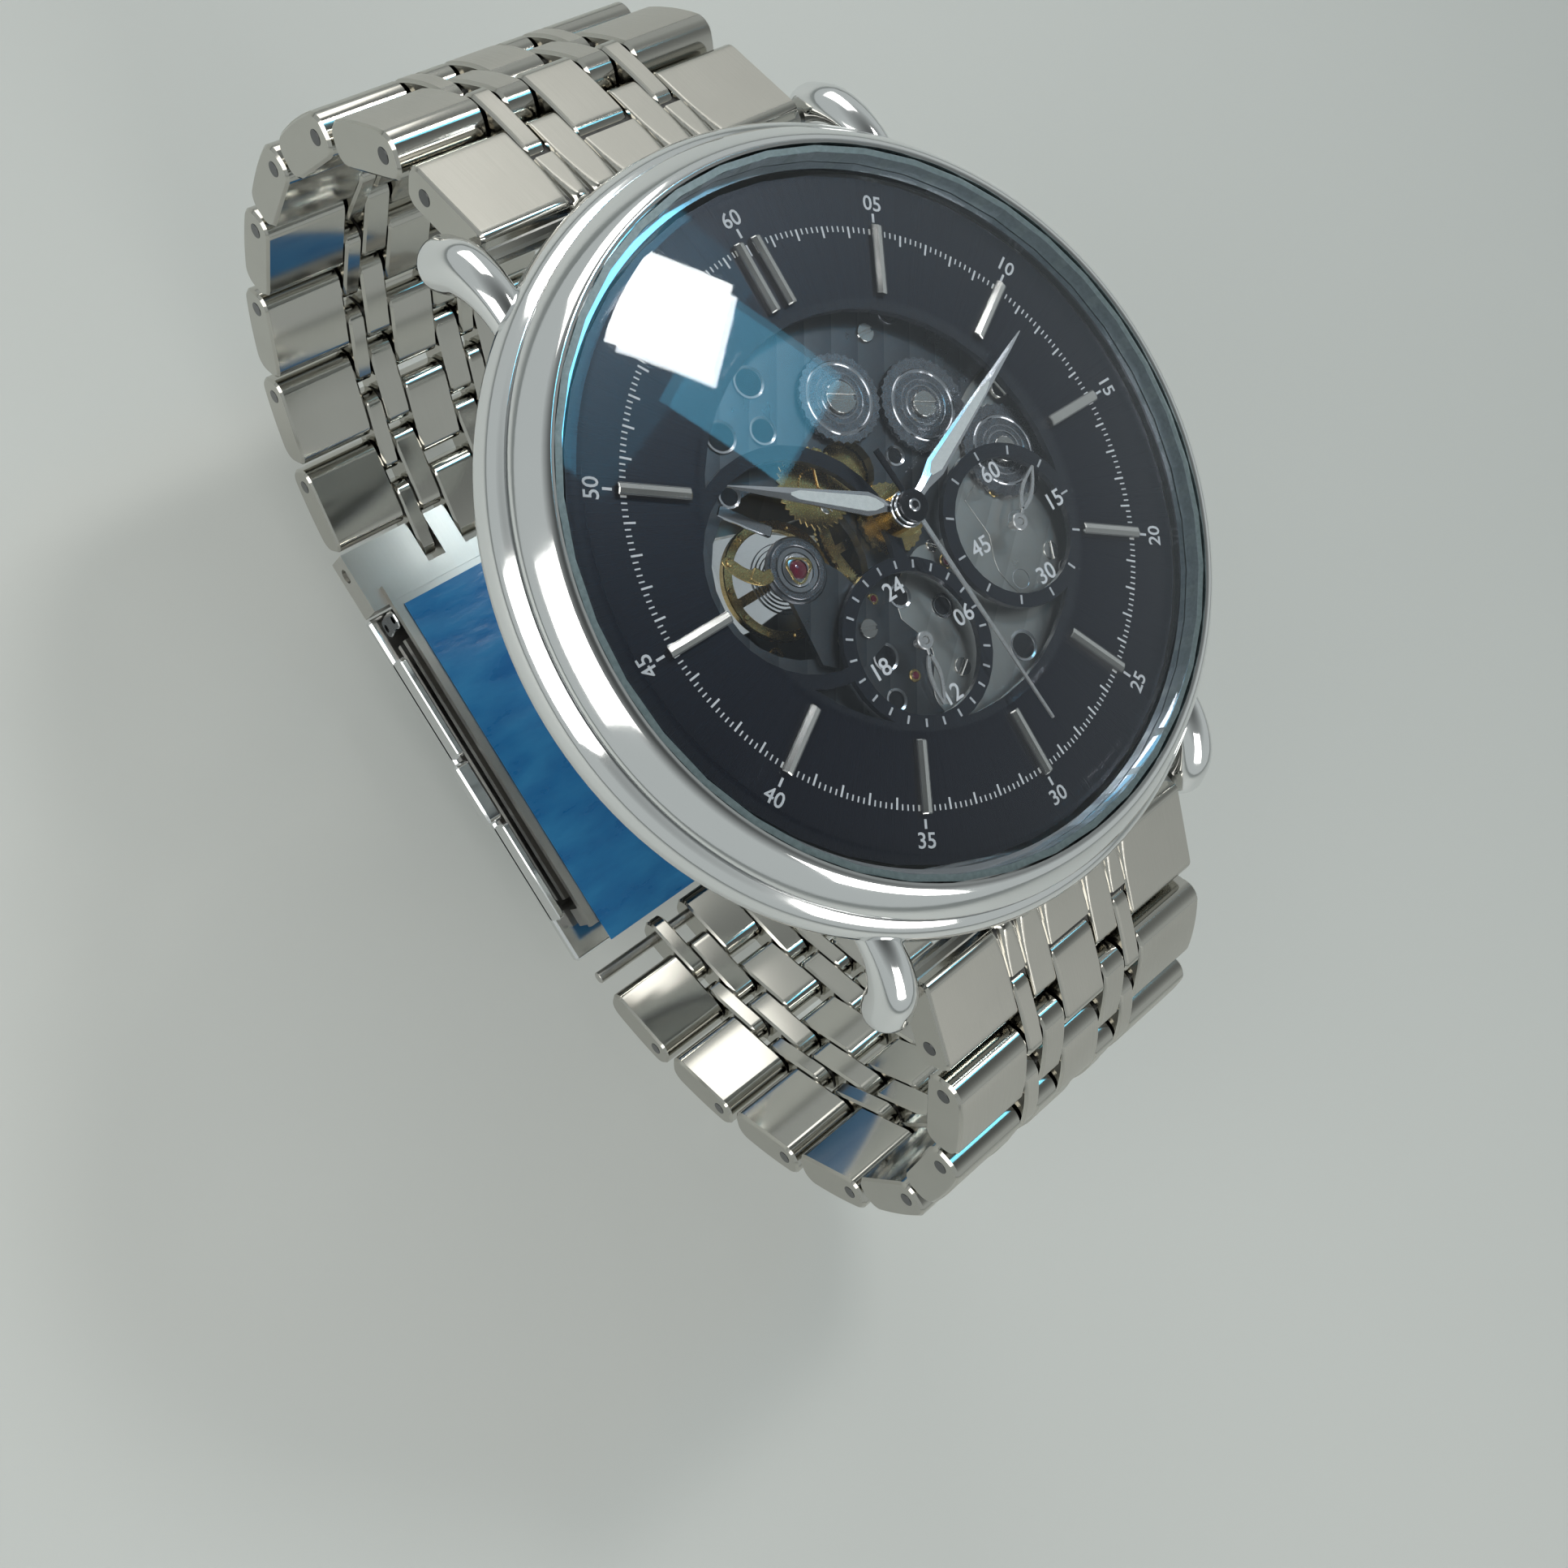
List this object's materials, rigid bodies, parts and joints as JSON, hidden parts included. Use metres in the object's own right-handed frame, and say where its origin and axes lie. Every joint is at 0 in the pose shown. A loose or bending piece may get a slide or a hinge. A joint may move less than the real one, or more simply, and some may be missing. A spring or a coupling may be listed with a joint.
{
  "type": "wristwatch",
  "caption": "automatic skeleton wristwatch with a polished round case, open-worked black dial, two sub-dials and a seven-column steel bracelet on a folding clasp",
  "frame": {"origin": "centre of the case back's flat outer face", "axes": "+X to 3 o'clock and the crown, +Y to 12 o'clock, +Z out of the dial; the closed bracelet hangs to -Z"},
  "size_m": [0.0446, 0.0727, 0.0504],
  "materials": {
    "polished_steel": "mirror polished stainless steel",
    "satin_steel": "satin brushed stainless steel",
    "clear_glass": "clear domed mineral glass and clear discs",
    "seal": "dark sealing ring",
    "dial_lacquer": "near-black lacquer with applied steel markers",
    "dark_plate": "dark grey galvanic finish",
    "nickel_plate": "nickel-plated brass, lightly brushed",
    "gilt_brass": "gilt brass",
    "wheel_steel": "turned and hardened steel",
    "hand_steel": "polished hands with a pale inlay",
    "ruby": "synthetic ruby",
    "blue_film": "blue adhesive protective film"
  },
  "bodies": {
    "case": {"middle_case": "polished_steel", "bezel": "polished_steel", "crystal": "clear_glass", "crystal_gasket": "seal", "case_back": "polished_steel", "case_back_window": "clear_glass", "dial": "dial_lacquer", "figure_disc": "clear_glass", "movement_holder": "nickel_plate", "main_plate": "dark_plate", "barrel_bridge": "nickel_plate", "train_bridge": "nickel_plate", "balance_cock": "dark_plate", "balance_jewel": "ruby", "regulator": "gilt_brass", "hairspring": "wheel_steel", "spring_bar_twelve": "satin_steel", "spring_bar_six": "satin_steel"},
    "hour": {"hour_wheel": "wheel_steel", "hour_hand": "hand_steel"},
    "minute": {"centre_wheel": "gilt_brass", "minute_hand": "hand_steel"},
    "seconds": {"fourth_wheel": "gilt_brass", "seconds_hand": "dark_plate"},
    "small_seconds": {"small_seconds_hand": "hand_steel"},
    "hours24": {"hand_24h": "dark_plate"},
    "barrel": {"barrel": "gilt_brass"},
    "ratchet": {"ratchet_wheel": "wheel_steel"},
    "idler": {"idler_wheel": "wheel_steel"},
    "crown_wheel": {"crown_wheel": "wheel_steel"},
    "third": {"third_wheel": "gilt_brass"},
    "escape": {"escape_wheel": "wheel_steel"},
    "pallet": {"pallet_fork": "wheel_steel"},
    "balance": {"balance_wheel": "gilt_brass"},
    "rotor": {"rotor": "nickel_plate"},
    "winding": {"winding_pinion": "wheel_steel"},
    "crown": {"crown_and_stem": "polished_steel"},
    "end_link_twelve": {"end_link_twelve": "satin_steel"},
    "row_twelve_1": {"row_twelve_1": "satin_steel"},
    "row_twelve_2": {"row_twelve_2": "satin_steel"},
    "row_twelve_3": {"row_twelve_3": "satin_steel"},
    "row_twelve_4": {"row_twelve_4": "satin_steel"},
    "row_twelve_5": {"row_twelve_5": "satin_steel"},
    "row_twelve_6": {"row_twelve_6": "satin_steel"},
    "row_twelve_7": {"row_twelve_7": "satin_steel"},
    "end_link_six": {"end_link_six": "satin_steel"},
    "row_six_1": {"row_six_1": "satin_steel"},
    "row_six_2": {"row_six_2": "satin_steel"},
    "row_six_3": {"row_six_3": "satin_steel"},
    "row_six_4": {"row_six_4": "satin_steel"},
    "row_six_5": {"row_six_5": "satin_steel"},
    "row_six_6": {"row_six_6": "satin_steel"},
    "row_six_7": {"row_six_7": "satin_steel"},
    "inner_blade": {"clasp_inner_blade": "satin_steel", "protective_film": "blue_film"},
    "outer_blade": {"clasp_outer_blade": "satin_steel"},
    "cover": {"clasp_cover": "polished_steel"},
    "button_right": {"clasp_button_right": "polished_steel"},
    "button_left": {"clasp_button_left": "polished_steel"}
  },
  "joints": [
    {"name": "seconds_turn", "type": "hinge", "parent": "case", "child": "seconds", "pos_m": [0, 0, 0.005], "axis": [0, 0, -1], "continuous": true},
    {"name": "minute_turn", "type": "hinge", "parent": "case", "child": "minute", "pos_m": [0, 0, 0.006], "axis": [0, 0, -1], "continuous": true},
    {"name": "hour_turn", "type": "hinge", "parent": "case", "child": "hour", "pos_m": [0, 0, 0.0075], "axis": [0, 0, -1], "continuous": true},
    {"name": "hours24_turn", "type": "hinge", "parent": "case", "child": "hours24", "pos_m": [-0.0028, -0.00602, 0.0085], "axis": [0, 0, -1], "continuous": true},
    {"name": "small_seconds_turn", "type": "hinge", "parent": "case", "child": "small_seconds", "pos_m": [0.00615, -0.0036, 0.0085], "axis": [0, 0, -1], "continuous": true},
    {"name": "third_turn", "type": "hinge", "parent": "case", "child": "third", "pos_m": [0.00194, -0.00337, 0.0054], "axis": [0, 0, -1], "continuous": true},
    {"name": "barrel_turn", "type": "hinge", "parent": "case", "child": "barrel", "pos_m": [0.00091, 0.00648, 0.0055], "axis": [0, 0, -1], "continuous": true},
    {"name": "escape_turn", "type": "hinge", "parent": "case", "child": "escape", "pos_m": [-0.00314, -0.00114, 0.0046], "axis": [0, 0, -1], "continuous": true},
    {"name": "pallet_rock", "type": "hinge", "parent": "case", "child": "pallet", "pos_m": [-0.00481, -0.00047, 0.0044], "axis": [0, 0, -1], "range_deg": [-6, 6]},
    {"name": "balance_swing", "type": "hinge", "parent": "case", "child": "balance", "pos_m": [-0.0065, 0.0002, 0.0054], "axis": [0, 0, -1], "range_deg": [-150, 150], "stiffness_Nm_per_rad": 0.000001},
    {"name": "rotor_turn", "type": "hinge", "parent": "case", "child": "rotor", "pos_m": [0, 0, 0.0024], "axis": [0, 0, -1], "continuous": true},
    {"name": "winding_turn", "type": "hinge", "parent": "case", "child": "winding", "pos_m": [0.0105, 0, 0.0034], "axis": [1, 0, 0], "continuous": true},
    {"name": "crown_wheel_turn", "type": "hinge", "parent": "case", "child": "crown_wheel", "pos_m": [0.0086, 0, 0.0073], "axis": [0, 0, -1], "continuous": true},
    {"name": "idler_turn", "type": "hinge", "parent": "case", "child": "idler", "pos_m": [0.00537, 0.00412, 0.0073], "axis": [0, 0, -1], "continuous": true},
    {"name": "ratchet_turn", "type": "hinge", "parent": "case", "child": "ratchet", "pos_m": [0.00091, 0.00648, 0.0073], "axis": [0, 0, -1], "continuous": true},
    {"name": "crown_pull", "type": "slide", "parent": "winding", "child": "crown", "axis": [1, 0, 0], "range_m": [0, 0.0012]},
    {"name": "end_link_twelve_hinge", "type": "hinge", "parent": "case", "child": "end_link_twelve", "pos_m": [0, 0.0212, 0.0032], "axis": [1, 0, 0], "range_deg": [0, 20]},
    {"name": "row_twelve_1_hinge", "type": "hinge", "parent": "end_link_twelve", "child": "row_twelve_1", "pos_m": [0, 0.02809, -0.00001], "axis": [1, 0, 0], "range_deg": [0, 29]},
    {"name": "row_twelve_2_hinge", "type": "hinge", "parent": "row_twelve_1", "child": "row_twelve_2", "pos_m": [0, 0.03208, -0.00551], "axis": [1, 0, 0], "range_deg": [0, 22]},
    {"name": "row_twelve_3_hinge", "type": "hinge", "parent": "row_twelve_2", "child": "row_twelve_3", "pos_m": [0, 0.03373, -0.01211], "axis": [1, 0, 0], "range_deg": [0, 18]},
    {"name": "row_twelve_4_hinge", "type": "hinge", "parent": "row_twelve_3", "child": "row_twelve_4", "pos_m": [0, 0.03326, -0.01889], "axis": [1, 0, 0], "range_deg": [0, 16]},
    {"name": "row_twelve_5_hinge", "type": "hinge", "parent": "row_twelve_4", "child": "row_twelve_5", "pos_m": [0, 0.03093, -0.02528], "axis": [1, 0, 0], "range_deg": [0, 16]},
    {"name": "row_twelve_6_hinge", "type": "hinge", "parent": "row_twelve_5", "child": "row_twelve_6", "pos_m": [0, 0.02693, -0.03079], "axis": [1, 0, 0], "range_deg": [0, 16]},
    {"name": "row_twelve_7_hinge", "type": "hinge", "parent": "row_twelve_6", "child": "row_twelve_7", "pos_m": [0, 0.02157, -0.03497], "axis": [1, 0, 0], "range_deg": [0, 16]},
    {"name": "end_link_six_hinge", "type": "hinge", "parent": "case", "child": "end_link_six", "pos_m": [0, -0.0212, 0.0032], "axis": [-1, 0, 0], "range_deg": [0, 20]},
    {"name": "row_six_1_hinge", "type": "hinge", "parent": "end_link_six", "child": "row_six_1", "pos_m": [0, -0.02809, -0.00001], "axis": [-1, 0, 0], "range_deg": [0, 19]},
    {"name": "row_six_2_hinge", "type": "hinge", "parent": "row_six_1", "child": "row_six_2", "pos_m": [0, -0.03298, -0.00474], "axis": [-1, 0, 0], "range_deg": [0, 22]},
    {"name": "row_six_3_hinge", "type": "hinge", "parent": "row_six_2", "child": "row_six_3", "pos_m": [0, -0.03575, -0.01095], "axis": [-1, 0, 0], "range_deg": [0, 24]},
    {"name": "row_six_4_hinge", "type": "hinge", "parent": "row_six_3", "child": "row_six_4", "pos_m": [0, -0.03575, -0.01775], "axis": [-1, 0, 0], "range_deg": [0, 20]},
    {"name": "row_six_5_hinge", "type": "hinge", "parent": "row_six_4", "child": "row_six_5", "pos_m": [0, -0.03342, -0.02414], "axis": [-1, 0, 0], "range_deg": [0, 14]},
    {"name": "row_six_6_hinge", "type": "hinge", "parent": "row_six_5", "child": "row_six_6", "pos_m": [0, -0.02962, -0.02978], "axis": [-1, 0, 0], "range_deg": [0, 14]},
    {"name": "row_six_7_hinge", "type": "hinge", "parent": "row_six_6", "child": "row_six_7", "pos_m": [0, -0.02456, -0.03433], "axis": [-1, 0, 0], "range_deg": [0, 14]},
    {"name": "inner_blade_hinge", "type": "hinge", "parent": "row_twelve_7", "child": "inner_blade", "pos_m": [0, 0.01527, -0.03752], "axis": [1, 0, 0], "range_deg": [0, 22]},
    {"name": "outer_blade_fold", "type": "hinge", "parent": "inner_blade", "child": "outer_blade", "pos_m": [0, -0.01396, -0.03717], "axis": [-1, 0, 0], "range_deg": [0, 100]},
    {"name": "cover_lift", "type": "hinge", "parent": "outer_blade", "child": "cover", "pos_m": [0, 0.01107, -0.03742], "axis": [1, 0, 0], "range_deg": [0, 100]},
    {"name": "button_right_press", "type": "slide", "parent": "cover", "child": "button_right", "axis": [-1, 0, 0], "range_m": [0, 0.0005], "stiffness_N_per_m": 800},
    {"name": "button_left_press", "type": "slide", "parent": "cover", "child": "button_left", "axis": [1, 0, 0], "range_m": [0, 0.0005], "stiffness_N_per_m": 800}
  ],
  "couplings": [
    {"joint": "minute_turn", "follows": "seconds_turn", "ratio": 0.016667},
    {"joint": "hour_turn", "follows": "seconds_turn", "ratio": 0.0013889},
    {"joint": "hours24_turn", "follows": "seconds_turn", "ratio": 0.00069444},
    {"joint": "small_seconds_turn", "follows": "seconds_turn", "ratio": 1},
    {"joint": "third_turn", "follows": "seconds_turn", "ratio": -0.125},
    {"joint": "barrel_turn", "follows": "seconds_turn", "ratio": -0.0021645},
    {"joint": "escape_turn", "follows": "seconds_turn", "ratio": -10},
    {"joint": "crown_wheel_turn", "follows": "winding_turn", "ratio": 0.375},
    {"joint": "idler_turn", "follows": "winding_turn", "ratio": -0.375},
    {"joint": "ratchet_turn", "follows": "winding_turn", "ratio": 0.4},
    {"joint": "outer_blade_fold", "follows": "cover_lift", "ratio": 1}
  ]
}
